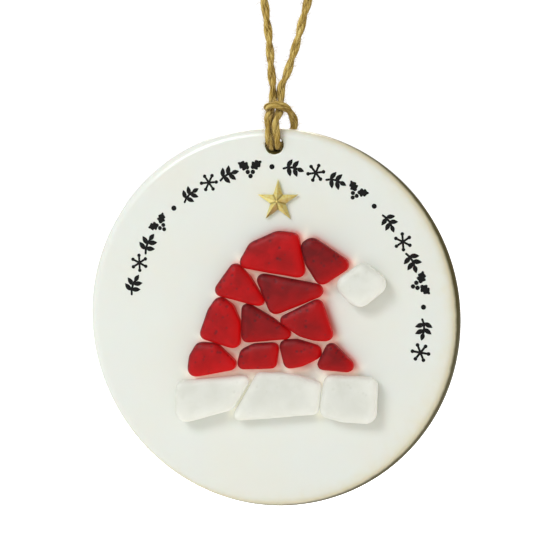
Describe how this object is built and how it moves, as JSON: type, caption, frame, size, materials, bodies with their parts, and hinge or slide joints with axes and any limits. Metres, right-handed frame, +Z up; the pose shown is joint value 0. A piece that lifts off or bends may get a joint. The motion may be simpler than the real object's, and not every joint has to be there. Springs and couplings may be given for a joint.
{
  "type": "hanging christmas ornament",
  "caption": "Round glazed ceramic hanging ornament with a santa hat made of beach glass, a brass star and a jute twine loop.",
  "frame": {"origin": "the point in the crotch of the twine loop where a hook bears, straight above the disc's centre", "axes": "+Z up along the hanging line; the decorated front faces -Y; +X to the right seen from the front"},
  "size_m": [0.076, 0.0104, 0.1367],
  "materials": {
    "glazed_stoneware": "clear gloss glaze on an off-white body",
    "red_beach_glass": "sea-worn frosted red glass",
    "white_beach_glass": "sea-worn frosted clear glass",
    "cast_brass": "polished cast brass",
    "clear_glue": "cured clear craft glue",
    "jute_twine": "natural two-ply jute",
    "garland_ink": "black ceramic ink line"
  },
  "bodies": {
    "hanger": {"twine_leg_left": "jute_twine", "twine_leg_right": "jute_twine", "tie_knot": "jute_twine"},
    "neck": {"twine_neck": "jute_twine"},
    "medallion": {"ceramic_disc": "glazed_stoneware", "red_glass_crown": "red_beach_glass", "red_glass_tail": "red_beach_glass", "red_glass_upper_left": "red_beach_glass", "red_glass_upper_middle": "red_beach_glass", "red_glass_left": "red_beach_glass", "red_glass_middle": "red_beach_glass", "red_glass_right": "red_beach_glass", "red_glass_lower_left": "red_beach_glass", "red_glass_lower_mid_left": "red_beach_glass", "red_glass_lower_mid_right": "red_beach_glass", "red_glass_lower_right": "red_beach_glass", "white_glass_pompom": "white_beach_glass", "white_glass_brim_left": "white_beach_glass", "white_glass_brim_middle": "white_beach_glass", "white_glass_brim_right": "white_beach_glass", "brass_star": "cast_brass", "glue_under_hat_top": "clear_glue", "glue_under_hat_bottom": "clear_glue", "glue_under_brim": "clear_glue", "glue_under_pompom": "clear_glue", "glue_under_star": "clear_glue", "twine_hitch": "jute_twine"}
  },
  "joints": [
    {"name": "twist", "type": "hinge", "parent": "hanger", "child": "neck", "pos_m": [0, 0, -0.0403], "axis": [0, 0, 1], "range_deg": [-180, 180], "stiffness_Nm_per_rad": 0.0001},
    {"name": "rock", "type": "hinge", "parent": "neck", "child": "medallion", "pos_m": [0, 0, -0.04175], "axis": [1, 0, 0], "range_deg": [-75, 75]}
  ]
}
